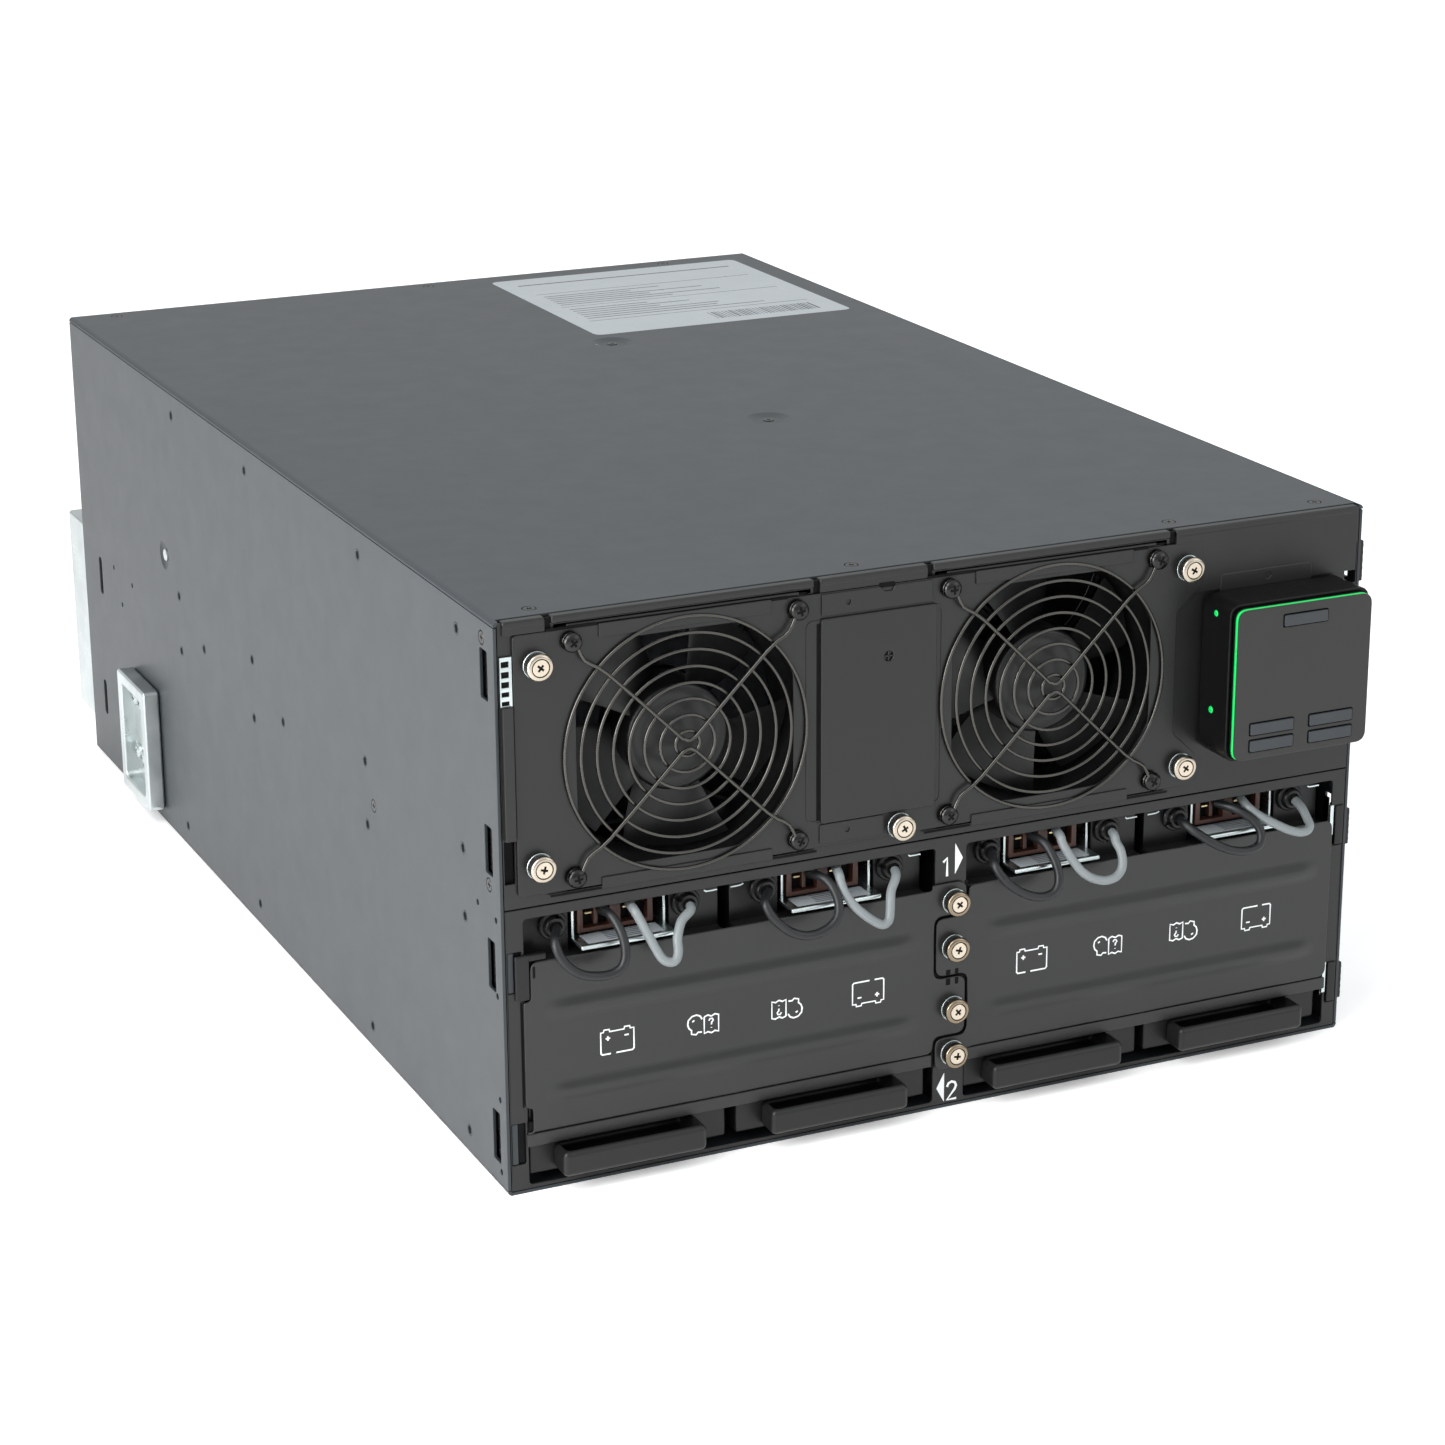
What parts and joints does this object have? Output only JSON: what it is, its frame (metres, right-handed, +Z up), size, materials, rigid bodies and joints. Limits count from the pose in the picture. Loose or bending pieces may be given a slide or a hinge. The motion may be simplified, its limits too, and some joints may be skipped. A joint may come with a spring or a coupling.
{
  "type": "server rack battery",
  "caption": "Rack-mounted battery backup unit with pull-out battery cartridges, a fan tray, a small display and doors held by thumbscrews; front bezel off.",
  "frame": {"origin": "centre of the case's bottom face", "axes": "+X to the right of a person facing the front, -Y towards the front, +Z up; the fans, display and battery doors face -Y"},
  "size_m": [0.452, 0.7403, 0.263],
  "materials": {
    "case_paint": "fine powder coat, dark blue-grey, satin",
    "front_paint": "powder coat, near black, satin",
    "zinc": "bright zinc-plated sheet steel",
    "nickel": "turned, nickel-plated, warm",
    "guard_wire": "black-nickel plated wire",
    "fan_plastic": "moulded black plastic",
    "module_plastic": "moulded black plastic, fine texture",
    "cell_case": "dark battery case",
    "plug_plastic": "brown connector housing",
    "dark_sheath": "dark grey cable sheath, slightly glossy",
    "light_sheath": "light grey cable sheath, slightly glossy",
    "display_plastic": "smooth black plastic",
    "light_guide": "green lit light guide",
    "button_rubber": "blue-grey keys",
    "board": "green circuit board",
    "heat_sink": "extruded aluminium"
  },
  "bodies": {
    "chassis": {"base_pan": "case_paint", "top_cover": "case_paint", "front_panel_upper": "front_paint", "battery_bay_frame": "front_paint", "bay_shelf": "zinc", "rear_panel": "case_paint", "terminal_cover": "zinc", "rear_bracket_left": "zinc", "rear_bracket_right": "zinc", "main_board": "board", "heat_sink": "heat_sink", "connector_bracket_left": "zinc", "connector_bracket_right": "zinc", "display_bracket": "front_paint", "display_housing": "display_plastic", "display_light_ring": "light_guide", "display_fascia": "display_plastic"},
    "fan_tray_unit": {"fan_tray": "front_paint", "fan_frame_left": "fan_plastic", "fan_frame_right": "fan_plastic", "fan_guard_left": "guard_wire", "fan_guard_right": "guard_wire"},
    "rotor_left": {"fan_rotor_left": "fan_plastic"},
    "rotor_right": {"fan_rotor_right": "fan_plastic"},
    "tray_screw_upper_left": {"tray_thumbscrew_upper_left": "nickel"},
    "tray_screw_lower_left": {"tray_thumbscrew_lower_left": "nickel"},
    "tray_screw_middle": {"tray_thumbscrew_middle": "nickel"},
    "tray_screw_upper_right": {"tray_thumbscrew_upper_right": "nickel"},
    "tray_screw_lower_right": {"tray_thumbscrew_lower_right": "nickel"},
    "key_power": {"button_power": "button_rubber"},
    "key_up": {"button_up": "button_rubber"},
    "key_down": {"button_down": "button_rubber"},
    "key_enter": {"button_enter": "button_rubber"},
    "key_back": {"button_back": "button_rubber"},
    "cartridge_left": {"module_front_1": "module_plastic", "cell_pack_1": "cell_case", "plug_1": "plug_plastic", "lead_dark_1": "dark_sheath", "lead_light_1": "light_sheath", "module_front_2": "module_plastic", "cell_pack_2": "cell_case", "plug_2": "plug_plastic", "lead_dark_2": "dark_sheath", "lead_light_2": "light_sheath"},
    "door_unit_left": {"door_left": "front_paint"},
    "door_screw_left_upper": {"door_thumbscrew_left_upper": "nickel"},
    "door_screw_left_lower": {"door_thumbscrew_left_lower": "nickel"},
    "cartridge_right": {"module_front_3": "module_plastic", "cell_pack_3": "cell_case", "plug_3": "plug_plastic", "lead_dark_3": "dark_sheath", "lead_light_3": "light_sheath", "module_front_4": "module_plastic", "cell_pack_4": "cell_case", "plug_4": "plug_plastic", "lead_dark_4": "dark_sheath", "lead_light_4": "light_sheath"},
    "door_unit_right": {"door_right": "front_paint"},
    "door_screw_right_upper": {"door_thumbscrew_right_upper": "nickel"},
    "door_screw_right_lower": {"door_thumbscrew_right_lower": "nickel"}
  },
  "joints": [
    {"name": "fan_tray_slide", "type": "slide", "parent": "chassis", "child": "fan_tray_unit", "axis": [0, -1, 0], "range_m": [0, 0.12]},
    {"name": "fan_spin_left", "type": "hinge", "parent": "fan_tray_unit", "child": "rotor_left", "pos_m": [-0.129, -0.3195, 0.1979], "axis": [0, 1, 0], "continuous": true},
    {"name": "fan_spin_right", "type": "hinge", "parent": "fan_tray_unit", "child": "rotor_right", "pos_m": [0.0515, -0.3195, 0.1979], "axis": [0, 1, 0], "continuous": true},
    {"name": "tray_screw_turn_upper_left", "type": "hinge", "parent": "fan_tray_unit", "child": "tray_screw_upper_left", "pos_m": [-0.1977, -0.3393, 0.2426], "axis": [0, 1, 0], "continuous": true},
    {"name": "tray_screw_turn_lower_left", "type": "hinge", "parent": "fan_tray_unit", "child": "tray_screw_lower_left", "pos_m": [-0.1982, -0.3393, 0.1525], "axis": [0, 1, 0], "continuous": true},
    {"name": "tray_screw_turn_middle", "type": "hinge", "parent": "fan_tray_unit", "child": "tray_screw_middle", "pos_m": [-0.0254, -0.3393, 0.1436], "axis": [0, 1, 0], "continuous": true},
    {"name": "tray_screw_turn_upper_right", "type": "hinge", "parent": "fan_tray_unit", "child": "tray_screw_upper_right", "pos_m": [0.121, -0.3393, 0.2446], "axis": [0, 1, 0], "continuous": true},
    {"name": "tray_screw_turn_lower_right", "type": "hinge", "parent": "fan_tray_unit", "child": "tray_screw_lower_right", "pos_m": [0.1203, -0.3393, 0.1499], "axis": [0, 1, 0], "continuous": true},
    {"name": "button_press_power", "type": "slide", "parent": "chassis", "child": "key_power", "axis": [0, 1, 0], "range_m": [0, 0.0008], "stiffness_N_per_m": 400, "springref_m": -0.0006},
    {"name": "button_press_up", "type": "slide", "parent": "chassis", "child": "key_up", "axis": [0, 1, 0], "range_m": [0, 0.0008], "stiffness_N_per_m": 400, "springref_m": -0.0006},
    {"name": "button_press_down", "type": "slide", "parent": "chassis", "child": "key_down", "axis": [0, 1, 0], "range_m": [0, 0.0008], "stiffness_N_per_m": 400, "springref_m": -0.0006},
    {"name": "button_press_enter", "type": "slide", "parent": "chassis", "child": "key_enter", "axis": [0, 1, 0], "range_m": [0, 0.0008], "stiffness_N_per_m": 400, "springref_m": -0.0006},
    {"name": "button_press_back", "type": "slide", "parent": "chassis", "child": "key_back", "axis": [0, 1, 0], "range_m": [0, 0.0008], "stiffness_N_per_m": 400, "springref_m": -0.0006},
    {"name": "cartridge_slide_left", "type": "slide", "parent": "chassis", "child": "cartridge_left", "axis": [0, -1, 0], "range_m": [0, 0.45]},
    {"name": "door_slide_left", "type": "slide", "parent": "cartridge_left", "child": "door_unit_left", "axis": [0, -1, 0], "range_m": [0, 0.12], "deforming": ["lead_dark_1", "lead_light_1", "lead_dark_2", "lead_light_2"]},
    {"name": "door_screw_turn_left_upper", "type": "hinge", "parent": "door_unit_left", "child": "door_screw_left_upper", "pos_m": [0.003, -0.3393, 0.1025], "axis": [0, 1, 0], "continuous": true},
    {"name": "door_screw_turn_left_lower", "type": "hinge", "parent": "door_unit_left", "child": "door_screw_left_lower", "pos_m": [0.003, -0.3393, 0.0499], "axis": [0, 1, 0], "continuous": true},
    {"name": "cartridge_slide_right", "type": "slide", "parent": "chassis", "child": "cartridge_right", "axis": [0, -1, 0], "range_m": [0, 0.45]},
    {"name": "door_slide_right", "type": "slide", "parent": "cartridge_right", "child": "door_unit_right", "axis": [0, -1, 0], "range_m": [0, 0.12], "deforming": ["lead_dark_3", "lead_light_3", "lead_dark_4", "lead_light_4"]},
    {"name": "door_screw_turn_right_upper", "type": "hinge", "parent": "door_unit_right", "child": "door_screw_right_upper", "pos_m": [0.003, -0.3393, 0.0802], "axis": [0, 1, 0], "continuous": true},
    {"name": "door_screw_turn_right_lower", "type": "hinge", "parent": "door_unit_right", "child": "door_screw_right_lower", "pos_m": [0.003, -0.3393, 0.0278], "axis": [0, 1, 0], "continuous": true}
  ]
}
